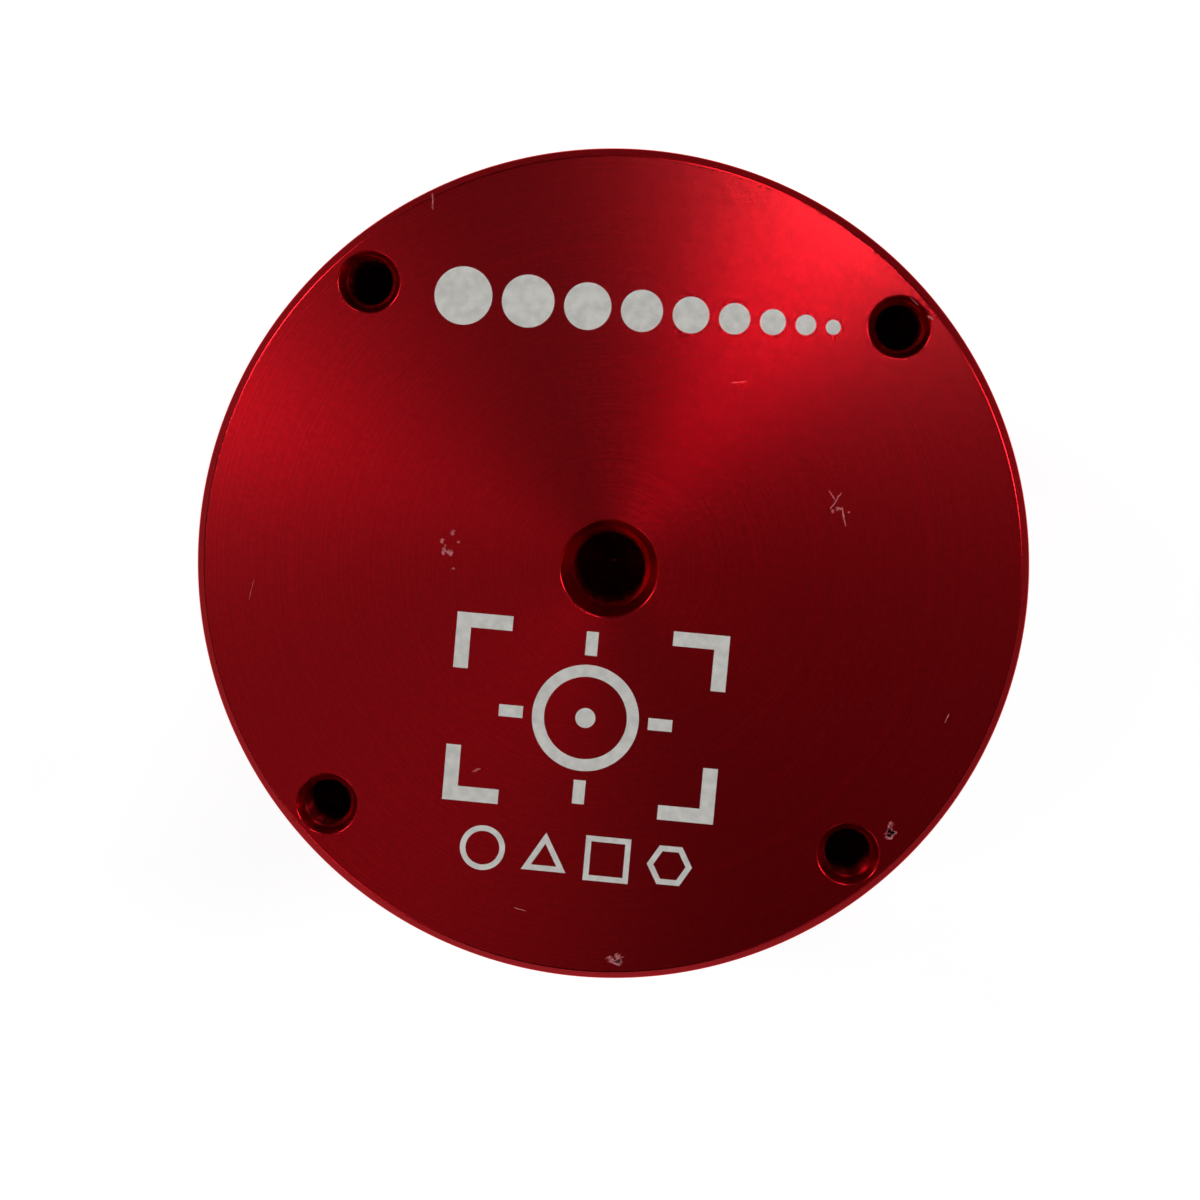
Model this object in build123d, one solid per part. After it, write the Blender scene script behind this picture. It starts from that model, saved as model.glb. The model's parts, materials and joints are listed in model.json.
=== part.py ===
from build123d import *
import os
from math import cos, radians, sin, tan

# Compact astronomy camera: a 62 mm round aluminium puck with the image sensor in it, a 1.25 inch
# nosepiece screwed into its front, and a slip-on dust cap over the nosepiece's tip.
#
# The camera stands on its dust cap. Z is the optical axis and points up to the rear face, X points
# right and Y up for somebody who looks at the rear face, and both sockets face -Y. All sizes are in mm.

# --- levels, from the surface the camera stands on ----------------------------------------------------
CAP_END_T = 1.5                             # the cap's end wall
CAP_END_GAP = 0.1
BARREL_END_Z = CAP_END_T + CAP_END_GAP
SHOULDER_Z = 25.5                           # nosepiece's stop against the telescope's focuser
SHOULDER_T = 3.5
NECK_Z = SHOULDER_Z + SHOULDER_T            # lens-mount face of the body
BODY_DEPTH = 36.0
REAR_Z = NECK_Z + BODY_DEPTH                # rear face
BACK_FOCUS = 12.5
SENSOR_Z = NECK_Z + BACK_FOCUS              # image plane
SPLIT_Z = REAR_Z - 17.4                     # seam between the two housings
PUCK_FRONT_Z = REAR_Z - 27.5                # front face of the puck, round the neck

# --- housings -----------------------------------------------------------------------------------------
BODY_R = 31.0
CAVITY_R = 27.5
BACK_WALL = 3.2
RIM_CHAMFER = 0.5
SEAM_CHAMFER = 0.3
BOSS_PCD = 55.5
BOSS_R = 4.2
BOSS_ANGLES = (45, 135, 225, 315)
PEDESTAL_R = 8.5                            # takes the processor's heat to the rear wall
NECK_R = 24.5
PLATE_FRONT_Z = NECK_Z + 7.8                # plate that carries the window and the sensor board
PLATE_T = 3.8
PLATE_REAR_Z = PLATE_FRONT_Z + PLATE_T

# --- threads: every tapped wall is at its thread's crests ---------------------------------------------
TRIPOD_R = 2.6                              # 1/4 inch, 20 threads per inch
TRIPOD_MOUTH_R = 3.65
TRIPOD_DEPTH = 8.5
M4_R = 1.65
M4_MOUTH_R = 2.3
M4_DEPTH = 8.0
DRILL_HALF_ANGLE = 59.0
LENS_THREAD_R = 20.8                        # M42 x 0.75 in the neck
LENS_THREAD_DEPTH = 5.5
LENS_RELIEF_R = 21.3
SPIGOT_R = 20.74                            # its male half on the nosepiece
SPIGOT_LENGTH = 4.8
FILTER_R = 13.93                            # M28.5 x 0.6 in the barrel's tip
FILTER_DEPTH = 4.5

# --- window and sensor --------------------------------------------------------------------------------
WINDOW_R = 10.9
WINDOW_T = 1.2
GASKET_T = 0.6
GASKET_IN_R, GASKET_OUT_R = 9.2, 10.8
APERTURE_R = 8.0
RETAINER_R = 16.0
RETAINER_IN_R = 9.4
RETAINER_T = 1.2
RETAINER_SCREW_R = 13.5                     # radius of the circle that its screws stand on
SENSOR_W = 10.0
SENSOR_T = 1.5
DIE_W, DIE_H, DIE_T = 6.4, 5.6, 0.4
COVER_W, COVER_T = 9.0, 0.4

# --- boards -------------------------------------------------------------------------------------------
BOARD_T = 1.6
SENSOR_BOARD_W = 34.0
SENSOR_BOARD_Z = SENSOR_Z + 1.1
SENSOR_BOARD_REAR_Z = SENSOR_BOARD_Z + BOARD_T
MAIN_BOARD_R = 26.9
MAIN_BOARD_Z = SENSOR_BOARD_REAR_Z + 2.0
MAIN_BOARD_REAR_Z = MAIN_BOARD_Z + BOARD_T
LINK_Y = 11.0
LOGIC_T = 1.3
PAD_T = 1.0
PEDESTAL_Z = MAIN_BOARD_REAR_Z + LOGIC_T + PAD_T

# --- sockets ------------------------------------------------------------------------------------------
SOCKET_FACE_Y = -27.4
SOCKET_GAP = 0.2
USB_X = -7.6
USB_W, USB_H, USB_D = 12.0, 13.0, 18.0
USB_SHEET = 0.3
USB_PLUG_W, USB_PLUG_H = 8.5, 7.8
USB_STEP_W, USB_STEP_H = 5.9, 2.9
USB_PLUG_D = 9.0
GUIDE_X = 7.9
GUIDE_W, GUIDE_H, GUIDE_D = 12.6, 12.0, 13.5
GUIDE_PLUG_W, GUIDE_PLUG_H, GUIDE_PLUG_D = 9.8, 6.8, 11.0
GUIDE_PITCH = 1.02

# --- nosepiece and cap --------------------------------------------------------------------------------
BARREL_R = 15.875
BARREL_IN_R = 13.4
UNDERCUT_R = 15.3
UNDERCUT_LOW_Z, UNDERCUT_HIGH_Z = 10.0, 14.5
SHOULDER_R = 24.0
SPIGOT_IN_R = 18.6
CAP_R = 17.4
CAP_GAP = 0.08
CAP_LIP_Z = 9.8
CAP_RIBS = 36

BOTTOM = (Align.CENTER, Align.CENTER, Align.MIN)


def disc(radius, low, high, x=0.0, y=0.0):
    """Upright cylinder from z = low to z = high."""
    return Pos(x, y, low) * Cylinder(radius, high - low, align=BOTTOM)


def slab(x_span, y_span, z_span):
    """Box between three pairs of limits."""
    (x0, x1), (y0, y1), (z0, z1) = x_span, y_span, z_span
    return Pos((x0 + x1) / 2, (y0 + y1) / 2, (z0 + z1) / 2) * Box(x1 - x0, y1 - y0, z1 - z0)


def plate(width, depth, low, high, x=0.0, y=0.0):
    """Upright box centred on (x, y)."""
    return Pos(x, y, low) * Box(width, depth, high - low, align=BOTTOM)


def turned(*corners):
    """Solid of revolution about the optical axis, from its section's (radius, z) corners."""
    return revolve(make_face(Polyline(*[(r, 0, z) for r, z in corners], close=True)), Axis.Z)


def on_circle(radius, angles):
    """Points (x, y) at the given angles on a circle round the optical axis."""
    return [(radius * cos(radians(a)), radius * sin(radians(a))) for a in angles]


def group(solids):
    """Identical pieces kept as one node."""
    return Compound(children=list(solids))


BOSSES_AT = on_circle(BOSS_PCD / 2, BOSS_ANGLES)
MAIN_SCREWS_AT = [(x, y) for x in (-24.2, 24.2) for y in (-6.0, 6.0)]
SENSOR_SCREWS_AT = [(x, y) for x in (-14.0, 14.0) for y in (-14.0, 14.0)]
RETAINER_SCREWS_AT = on_circle(RETAINER_SCREW_R, (0, 90, 180, 270))


# ======================================================================================================
# Screws: each stands with its head's seat at z = 0 and its shank towards +Z
# ======================================================================================================
class Screw:
    """Machine screw with a hexagon recess; its shank is drawn at the thread's outside radius."""

    def __init__(self, shank_r, length, head_r, head_t, countersunk):
        self.shank_r, self.length = shank_r, length
        self.head_r, self.head_t, self.countersunk = head_r, head_t, countersunk

    def solid(self):
        r, end = self.shank_r, self.length
        tip = [(r, end - 0.2), (r - 0.2, end), (0, end)]
        if self.countersunk:
            face_z = 0.0
            body = turned((0, 0), (self.head_r, 0), (r, self.head_t), *tip)
        else:
            face_z = -self.head_t
            head = [(0, face_z), (self.head_r - 0.3, face_z), (self.head_r, face_z + 0.3)]
            body = turned(*head, (self.head_r, 0), (r, 0), *tip)
        recess = extrude(RegularPolygon(self.head_r * 0.5, 6), self.head_t * 0.6)
        return body - Pos(0, 0, face_z) * recess

    def passage(self, depth):
        """Cutter for the hole that a countersunk screw passes through."""
        wide, hole_r = self.head_r + 0.1, self.shank_r + 0.1
        rim = [(0, -1), (wide, -1), (wide, 0)]
        return turned(*rim, (hole_r, self.head_t), (hole_r, depth), (0, depth))

    def tapped(self, depth):
        """Cutter for the blind hole that takes the screw's end."""
        return disc(self.shank_r + 0.03, -1, depth)


HOUSING_SCREW = Screw(1.25, 16.0, 2.3, 1.2, True)
MAIN_SCREW = Screw(1.0, 5.6, 1.9, 1.4, False)
SENSOR_SCREW = Screw(1.0, 4.8, 1.9, 1.4, False)
RETAINER_SCREW = Screw(1.0, 4.0, 1.8, 0.9, True)


def screws(kind, places, z, head_up=False):
    """One node of identical screws."""
    turn = Rot(180, 0, 0) if head_up else Rot(0, 0, 0)
    return group(Pos(x, y, z) * turn * kind.solid() for x, y in places)


# ======================================================================================================
# Housings
# ======================================================================================================
def blind_hole(radius, mouth_radius, depth):
    """Cutter for a drilled hole with a 90 degree countersink, its mouth at z = 0."""
    tip = depth + radius / tan(radians(DRILL_HALF_ANGLE))
    sink = mouth_radius - radius
    return turned((0, 1), (mouth_radius + 1, 1), (radius, -sink), (radius, -depth), (0, -tip))


def socket_window(x, width, height):
    """Cutter through the rear housing's wall for one socket, open to the seam."""
    half = width / 2 + SOCKET_GAP
    top = MAIN_BOARD_REAR_Z + height + SOCKET_GAP
    return slab((x - half, x + half), (-BODY_R - 1, -CAVITY_R + 6), (SPLIT_Z - 1, top))


def rear_housing():
    """Cup with the rear face; corner bosses, board posts and heat pedestal are part of it."""
    ceiling = REAR_Z - BACK_WALL
    cup = turned(
        (0, REAR_Z),
        (BODY_R - RIM_CHAMFER, REAR_Z),
        (BODY_R, REAR_Z - RIM_CHAMFER),
        (BODY_R, SPLIT_Z + SEAM_CHAMFER),
        (BODY_R - SEAM_CHAMFER, SPLIT_Z),
        (CAVITY_R, SPLIT_Z),
        (CAVITY_R, ceiling),
        (0, ceiling),
    )
    inside = disc(CAVITY_R + 0.5, SPLIT_Z, ceiling + 0.5)
    bosses = [disc(BOSS_R, SPLIT_Z, ceiling + 0.5, x, y) & inside for x, y in BOSSES_AT]
    posts = [disc(3.0, MAIN_BOARD_REAR_Z, ceiling + 0.5, x, y) & inside for x, y in MAIN_SCREWS_AT]
    pedestal = disc(PEDESTAL_R, PEDESTAL_Z, ceiling + 0.5)
    holes = [Pos(x, y, REAR_Z) * blind_hole(M4_R, M4_MOUTH_R, M4_DEPTH) for x, y in BOSSES_AT]
    holes.append(Pos(0, 0, REAR_Z) * blind_hole(TRIPOD_R, TRIPOD_MOUTH_R, TRIPOD_DEPTH))
    holes += [Pos(x, y, SPLIT_Z) * HOUSING_SCREW.tapped(6.2) for x, y in BOSSES_AT]
    holes += [Pos(x, y, MAIN_BOARD_REAR_Z) * MAIN_SCREW.tapped(4.4) for x, y in MAIN_SCREWS_AT]
    holes.append(socket_window(USB_X, USB_W, USB_H))
    holes.append(socket_window(GUIDE_X, GUIDE_W, GUIDE_H))
    return cup + bosses + posts + pedestal - holes


def front_housing():
    """Flange with the neck and lens-mount thread; its plate carries the window and sensor board."""
    seat_z = PLATE_FRONT_Z + WINDOW_T + GASKET_T
    ring = turned(
        (APERTURE_R, seat_z),
        (WINDOW_R + 0.1, seat_z),
        (WINDOW_R + 0.1, PLATE_FRONT_Z),
        (LENS_THREAD_R - 0.8, PLATE_FRONT_Z),
        (LENS_THREAD_R - 0.8, NECK_Z + 6.3),
        (LENS_RELIEF_R, NECK_Z + 6.3),
        (LENS_RELIEF_R, NECK_Z + LENS_THREAD_DEPTH),
        (LENS_THREAD_R, NECK_Z + LENS_THREAD_DEPTH),
        (LENS_THREAD_R, NECK_Z + 0.4),
        (LENS_THREAD_R + 0.4, NECK_Z),
        (NECK_R - 0.4, NECK_Z),
        (NECK_R, NECK_Z + 0.4),
        (NECK_R, PUCK_FRONT_Z),
        (BODY_R - RIM_CHAMFER, PUCK_FRONT_Z),
        (BODY_R, PUCK_FRONT_Z + RIM_CHAMFER),
        (BODY_R, SPLIT_Z - SEAM_CHAMFER),
        (BODY_R - SEAM_CHAMFER, SPLIT_Z),
        (CAVITY_R, SPLIT_Z),
        (CAVITY_R, PLATE_REAR_Z),
        (APERTURE_R, PLATE_REAR_Z),
    )
    inside = disc(CAVITY_R + 0.5, PLATE_REAR_Z - 0.5, SPLIT_Z)
    bosses = [disc(BOSS_R, PLATE_REAR_Z - 0.5, SPLIT_Z, x, y) & inside for x, y in BOSSES_AT]
    posts = [disc(2.6, PLATE_REAR_Z - 0.5, SENSOR_BOARD_Z, x, y) for x, y in SENSOR_SCREWS_AT]
    holes = [Pos(x, y, PUCK_FRONT_Z) * HOUSING_SCREW.passage(12.0) for x, y in BOSSES_AT]
    down = Rot(180, 0, 0) * SENSOR_SCREW.tapped(3.6)
    holes += [Pos(x, y, SENSOR_BOARD_Z) * down for x, y in SENSOR_SCREWS_AT]
    holes += [Pos(x, y, PLATE_FRONT_Z) * RETAINER_SCREW.tapped(3.0) for x, y in RETAINER_SCREWS_AT]
    return ring + bosses + posts - holes


# ======================================================================================================
# Window and image sensor
# ======================================================================================================
def window_retainer():
    """Black ring that clamps the window."""
    low = PLATE_FRONT_Z - RETAINER_T
    ring = turned(
        (RETAINER_IN_R + 0.7, low),
        (RETAINER_R - 0.2, low),
        (RETAINER_R, low + 0.2),
        (RETAINER_R, PLATE_FRONT_Z),
        (RETAINER_IN_R, PLATE_FRONT_Z),
        (RETAINER_IN_R, low + 0.7),
    )
    return ring - [Pos(x, y, low) * RETAINER_SCREW.passage(3.0) for x, y in RETAINER_SCREWS_AT]


def window_glass():
    return chamfer(disc(WINDOW_R, PLATE_FRONT_Z, PLATE_FRONT_Z + WINDOW_T).edges(), 0.15)


def window_gasket():
    low = PLATE_FRONT_Z + WINDOW_T
    high = low + GASKET_T
    return disc(GASKET_OUT_R, low, high) - disc(GASKET_IN_R, low - 1, high + 1)


def light_seal():
    """Square foam frame round the sensor, between the plate and the sensor board."""
    span = (PLATE_REAR_Z, SENSOR_BOARD_Z)
    return plate(16.4, 16.4, *span) - plate(11.0, 11.0, span[0] - 1, span[1] + 1)


def sensor_package():
    """Ceramic carrier with a well for the die and contact notches along its edges."""
    low = SENSOR_BOARD_Z - SENSOR_T
    body = plate(SENSOR_W, SENSOR_W, low, SENSOR_BOARD_Z)
    body -= plate(7.2, 6.4, low - 1, SENSOR_Z + DIE_T)
    span = (low - 1, SENSOR_BOARD_Z + 1)
    half = SENSOR_W / 2
    steps = [0.8 * (k - 4.5) for k in range(10)]
    notches = [disc(0.16, *span, side * half, t) for side in (-1, 1) for t in steps]
    notches += [disc(0.16, *span, t, side * half) for side in (-1, 1) for t in steps]
    return body - notches


def sensor_die():
    return plate(DIE_W, DIE_H, SENSOR_Z, SENSOR_Z + DIE_T)


def sensor_cover_glass():
    high = SENSOR_BOARD_Z - SENSOR_T
    return plate(COVER_W, COVER_W, high - COVER_T, high)


# ======================================================================================================
# Boards
# ======================================================================================================
USB_LEGS_AT = [(USB_X + side * (USB_W - USB_SHEET) / 2, y) for side in (-1, 1) for y in (-20.0, -13.0)]


def main_board():
    """Round board with bites round the corner bosses."""
    board = disc(MAIN_BOARD_R, MAIN_BOARD_Z, MAIN_BOARD_REAR_Z)
    span = (MAIN_BOARD_Z - 1, MAIN_BOARD_REAR_Z + 1)
    holes = [disc(BOSS_R + 0.5, *span, x, y) for x, y in BOSSES_AT]
    holes += [disc(1.1, *span, x, y) for x, y in MAIN_SCREWS_AT]
    holes += [plate(0.9, 2.2, *span, x, y) for x, y in USB_LEGS_AT]
    return board - holes


def sensor_board():
    """Square board with cut corners on the front housing's posts."""
    board = plate(SENSOR_BOARD_W, SENSOR_BOARD_W, SENSOR_BOARD_Z, SENSOR_BOARD_REAR_Z)
    board = chamfer(board.edges().filter_by(Axis.Z), 1.5)
    span = (SENSOR_BOARD_Z - 1, SENSOR_BOARD_REAR_Z + 1)
    return board - [disc(1.1, *span, x, y) for x, y in SENSOR_SCREWS_AT]


def chip(width, depth, thickness, x, y):
    """Chip on the main board's rear side, with bevelled top edges."""
    body = plate(width, depth, MAIN_BOARD_REAR_Z, MAIN_BOARD_REAR_Z + thickness, x, y)
    return chamfer(body.faces().sort_by(Axis.Z)[-1].edges(), 0.1)


def coil(x, y):
    """Moulded power inductor with rounded corners."""
    body = plate(5.0, 5.0, MAIN_BOARD_REAR_Z, MAIN_BOARD_REAR_Z + 2.2, x, y)
    return fillet(body.edges().filter_by(Axis.Z), 0.9)


def board_parts():
    """Chips, coils and connectors of the main board."""
    link_mid = (SENSOR_BOARD_REAR_Z + MAIN_BOARD_Z) / 2
    ceramics = [(x, y) for x in (-8.4, 8.4) for y in (-4.5, -1.5, 1.5, 4.5)]
    ceramics += [(x, 8.0) for x in (-4.5, -1.5, 1.5, 4.5)]
    ceramics += [(18.5, y) for y in (-9.0, 9.0, 11.5)]
    return {
        "logic_chip": chip(11, 11, LOGIC_T, 0, 0),
        "thermal_pad": plate(10.5, 10.5, PEDESTAL_Z - PAD_T, PEDESTAL_Z),
        "usb_controller_chip": chip(8, 8, 1.0, -14.5, 0),
        "frame_memory_chip": chip(8, 12, 1.0, -8.5, 15.5),
        "flash_chip": chip(5, 6, 0.9, 3.5, 14.0),
        "clock_crystal": chip(3.2, 2.5, 0.8, -14.9, 7.2),
        "power_inductors": group(coil(13.5, y) for y in (-8.0, 8.0)),
        "regulator_chips": group(chip(3, 3, 0.9, x, y) for x, y in ((13.5, 0), (18.5, -2.6), (18.5, 2.6))),
        "ceramic_capacitors": group(chip(1.6, 0.8, 0.8, x, y) for x, y in ceramics),
        "board_link_socket": plate(18.0, 4.4, link_mid, MAIN_BOARD_Z, 0, LINK_Y),
        "board_link_plug": plate(18.0, 3.8, SENSOR_BOARD_REAR_Z, link_mid, 0, LINK_Y),
    }


# ======================================================================================================
# Data socket: a square well with a narrower step above it, facing -Y
# ======================================================================================================
USB_TOP_Z = MAIN_BOARD_REAR_Z + USB_H
USB_BACK_Y = SOCKET_FACE_Y + USB_D
USB_INSULATOR_Y = SOCKET_FACE_Y + 0.5
USB_FLOOR_Z = MAIN_BOARD_REAR_Z + 1.4
USB_STEP_Z = USB_FLOOR_Z + USB_PLUG_H
USB_TONGUE_Z = USB_FLOOR_Z + USB_PLUG_H / 2
USB_UPPER_TONGUE_Z = USB_STEP_Z + 1.5


def usb_shell():
    """Folded steel shell, open to -Y, with four solder legs through the board."""
    half = USB_W / 2
    x_span = (USB_X - half, USB_X + half)
    outer = slab(x_span, (SOCKET_FACE_Y, USB_BACK_Y), (MAIN_BOARD_REAR_Z, USB_TOP_Z))
    outer = fillet(outer.edges().filter_by(Axis.Y), 0.5)
    hollow = slab(
        (x_span[0] + USB_SHEET, x_span[1] - USB_SHEET),
        (SOCKET_FACE_Y - 1, USB_BACK_Y - USB_SHEET),
        (MAIN_BOARD_REAR_Z + USB_SHEET, USB_TOP_Z - USB_SHEET),
    )
    leg_span = (MAIN_BOARD_Z - 0.4, MAIN_BOARD_REAR_Z + 2)
    legs = [plate(USB_SHEET, 1.6, *leg_span, x, y) for x, y in USB_LEGS_AT]
    return outer - hollow + legs


def usb_tongue(width, height, z, recess):
    """Tongue with bevelled tip that stands in the plug's space."""
    y_span = (USB_INSULATOR_Y + recess, USB_INSULATOR_Y + USB_PLUG_D + 0.5)
    body = slab((USB_X - width / 2, USB_X + width / 2), y_span, (z - height / 2, z + height / 2))
    tip = body.faces().sort_by(Axis.Y)[0].edges().filter_by(Axis.X)
    return chamfer(tip, 0.25)


def usb_insulator():
    """Moulding with the plug's space and the two contact tongues."""
    half = USB_W / 2 - USB_SHEET
    body = slab(
        (USB_X - half, USB_X + half),
        (USB_INSULATOR_Y, USB_BACK_Y - USB_SHEET),
        (MAIN_BOARD_REAR_Z + USB_SHEET, USB_TOP_Z - USB_SHEET),
    )
    run = (USB_INSULATOR_Y - 1, USB_INSULATOR_Y + USB_PLUG_D)
    well = slab((USB_X - USB_PLUG_W / 2, USB_X + USB_PLUG_W / 2), run, (USB_FLOOR_Z, USB_STEP_Z))
    step_top = USB_STEP_Z + USB_STEP_H
    step = slab((USB_X - USB_STEP_W / 2, USB_X + USB_STEP_W / 2), run, (USB_STEP_Z - 1, step_top))
    tongues = [usb_tongue(5.6, 3.2, USB_TONGUE_Z, 1.0), usb_tongue(4.9, 0.9, USB_UPPER_TONGUE_Z, 1.8)]
    return body - [well, step] + tongues


def usb_contacts():
    """Gold strips: two over and two under the main tongue, five under the upper one."""
    run = (USB_INSULATOR_Y + 2.6, USB_INSULATOR_Y + USB_PLUG_D)
    strips = []
    for x in (USB_X - 1.25, USB_X + 1.25):
        for z in (USB_TONGUE_Z - 1.75, USB_TONGUE_Z + 1.6):
            strips.append(slab((x - 0.5, x + 0.5), run, (z, z + 0.15)))
    for k in range(-2, 3):
        x = USB_X + 0.95 * k
        top = USB_UPPER_TONGUE_Z - 0.45
        strips.append(slab((x - 0.25, x + 0.25), run, (top - 0.12, top)))
    return group(strips)


# ======================================================================================================
# Guide socket: six-way modular jack, facing -Y
# ======================================================================================================
GUIDE_FLOOR_Z = MAIN_BOARD_REAR_Z + 2.4
GUIDE_CEILING_Z = GUIDE_FLOOR_Z + GUIDE_PLUG_H


def guide_socket_body():
    """Moulded jack; the plug's latch runs in the stepped slot on the board's side."""
    half = GUIDE_W / 2
    body = slab(
        (GUIDE_X - half, GUIDE_X + half),
        (SOCKET_FACE_Y, SOCKET_FACE_Y + GUIDE_D),
        (MAIN_BOARD_REAR_Z, MAIN_BOARD_REAR_Z + GUIDE_H),
    )
    body = fillet(body.edges().filter_by(Axis.Y), 0.4)
    run = (SOCKET_FACE_Y - 1, SOCKET_FACE_Y + GUIDE_PLUG_D)
    for width, low in ((GUIDE_PLUG_W, 0.0), (6.2, -1.0), (3.3, -1.7)):
        x_span = (GUIDE_X - width / 2, GUIDE_X + width / 2)
        body -= slab(x_span, run, (GUIDE_FLOOR_Z + low, GUIDE_CEILING_Z))
    return body


def guide_socket_contacts():
    """Six sprung wires that slope down from the front of the socket's ceiling."""
    front = SOCKET_FACE_Y + 1.2
    back = SOCKET_FACE_Y + GUIDE_PLUG_D - 0.4
    top = GUIDE_CEILING_Z
    side = make_face(
        Polyline(
            (0, front, top - 0.02),
            (0, front, top - 0.35),
            (0, back, top - 2.0),
            (0, back, top - 1.65),
            close=True,
        )
    )
    wire = extrude(side, 0.45, dir=(1, 0, 0))
    return group(Pos(GUIDE_X + GUIDE_PITCH * (k - 2.5) - 0.225, 0, 0) * wire for k in range(6))


# ======================================================================================================
# Nosepiece and dust cap
# ======================================================================================================
def nosepiece():
    """1.25 inch barrel with a shoulder, a male lens-mount spigot and a female filter thread."""
    filter_z = BARREL_END_Z + FILTER_DEPTH
    top = NECK_Z + SPIGOT_LENGTH
    return turned(
        (FILTER_R + 0.3, BARREL_END_Z),
        (BARREL_R - 0.4, BARREL_END_Z),
        (BARREL_R, BARREL_END_Z + 0.4),
        (BARREL_R, UNDERCUT_LOW_Z),
        (UNDERCUT_R, UNDERCUT_LOW_Z + 0.6),
        (UNDERCUT_R, UNDERCUT_HIGH_Z - 0.6),
        (BARREL_R, UNDERCUT_HIGH_Z),
        (BARREL_R, SHOULDER_Z),
        (SHOULDER_R - 0.4, SHOULDER_Z),
        (SHOULDER_R, SHOULDER_Z + 0.4),
        (SHOULDER_R, NECK_Z - 0.4),
        (SHOULDER_R - 0.4, NECK_Z),
        (SPIGOT_R - 0.6, NECK_Z),
        (SPIGOT_R - 0.6, NECK_Z + 0.7),
        (SPIGOT_R, NECK_Z + 1.0),
        (SPIGOT_R, top - 0.5),
        (SPIGOT_R - 0.5, top),
        (SPIGOT_IN_R, top),
        (SPIGOT_IN_R, SHOULDER_Z + 2.6),
        (BARREL_IN_R + 1.2, SHOULDER_Z + 2.6),
        (BARREL_IN_R, SHOULDER_Z + 1.4),
        (BARREL_IN_R, filter_z + 0.3),
        (FILTER_R, filter_z),
        (FILTER_R, BARREL_END_Z + 0.3),
    )


def dust_cap():
    """Plastic cup over the barrel's tip, with shallow grip flutes round its wall."""
    inner_r = BARREL_R + CAP_GAP
    cup = turned(
        (0, 0),
        (CAP_R - 0.5, 0),
        (CAP_R, 0.5),
        (CAP_R, CAP_LIP_Z - 0.3),
        (CAP_R - 0.3, CAP_LIP_Z),
        (inner_r + 0.2, CAP_LIP_Z),
        (inner_r, CAP_LIP_Z - 0.2),
        (inner_r, CAP_END_T),
        (0, CAP_END_T),
    )
    flutes_at = on_circle(CAP_R + 0.55, [360 / CAP_RIBS * k for k in range(CAP_RIBS)])
    return cup - [disc(0.9, 2.0, CAP_LIP_Z + 1, x, y) for x, y in flutes_at]


# ======================================================================================================
# Every node, by the name that its file takes
# ======================================================================================================
def all_nodes():
    nodes = {
        "rear_housing": rear_housing(),
        "front_housing": front_housing(),
        "housing_screws": screws(HOUSING_SCREW, BOSSES_AT, PUCK_FRONT_Z),
        "window_retainer": window_retainer(),
        "window_retainer_screws": screws(RETAINER_SCREW, RETAINER_SCREWS_AT, PLATE_FRONT_Z - RETAINER_T),
        "window_glass": window_glass(),
        "window_gasket": window_gasket(),
        "light_seal": light_seal(),
        "sensor_package": sensor_package(),
        "sensor_die": sensor_die(),
        "sensor_cover_glass": sensor_cover_glass(),
        "sensor_board": sensor_board(),
        "sensor_board_screws": screws(SENSOR_SCREW, SENSOR_SCREWS_AT, SENSOR_BOARD_REAR_Z, head_up=True),
        "main_board": main_board(),
        "main_board_screws": screws(MAIN_SCREW, MAIN_SCREWS_AT, MAIN_BOARD_Z),
        "usb_shell": usb_shell(),
        "usb_insulator": usb_insulator(),
        "usb_contacts": usb_contacts(),
        "guide_socket_body": guide_socket_body(),
        "guide_socket_contacts": guide_socket_contacts(),
        "nosepiece": nosepiece(),
        "dust_cap": dust_cap(),
    }
    nodes.update(board_parts())
    return nodes


os.makedirs("parts", exist_ok=True)
for node_name, shape in all_nodes().items():
    export_step(shape, f"parts/{node_name}.step")
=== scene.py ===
import json
from math import asin, cos, pi, radians, sin, tan

import bmesh
import bpy
import numpy as np
from mathutils import Matrix, Vector
from mathutils.geometry import tessellate_polygon


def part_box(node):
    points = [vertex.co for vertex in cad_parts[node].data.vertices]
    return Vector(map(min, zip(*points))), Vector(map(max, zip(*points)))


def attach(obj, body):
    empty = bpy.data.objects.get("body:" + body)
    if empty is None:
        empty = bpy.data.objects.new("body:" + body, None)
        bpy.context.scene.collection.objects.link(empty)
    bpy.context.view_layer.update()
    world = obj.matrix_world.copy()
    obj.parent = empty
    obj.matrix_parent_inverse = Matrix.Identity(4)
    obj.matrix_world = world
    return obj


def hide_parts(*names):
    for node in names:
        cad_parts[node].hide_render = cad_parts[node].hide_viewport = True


# Compact astronomy camera, standing nose-down on its dust cap with its turned rear face up.
# Shapes are worked out in millimetres and scaled to metres when they become meshes.

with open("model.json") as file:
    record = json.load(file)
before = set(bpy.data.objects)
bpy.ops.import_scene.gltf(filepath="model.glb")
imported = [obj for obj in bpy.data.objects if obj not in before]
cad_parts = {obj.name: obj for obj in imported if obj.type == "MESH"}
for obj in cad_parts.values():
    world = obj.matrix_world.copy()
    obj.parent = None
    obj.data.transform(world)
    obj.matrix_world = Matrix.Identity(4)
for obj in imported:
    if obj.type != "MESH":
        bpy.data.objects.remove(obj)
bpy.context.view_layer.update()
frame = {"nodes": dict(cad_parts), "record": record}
MM = 0.001
MOUNTS = {m["name"]: m for m in frame["record"]["mounts"]}


def box_mm(name):
    """Lowest and highest corner of a CAD node, in millimetres."""
    low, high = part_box(name)
    return np.array(low) / MM, np.array(high) / MM


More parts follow.
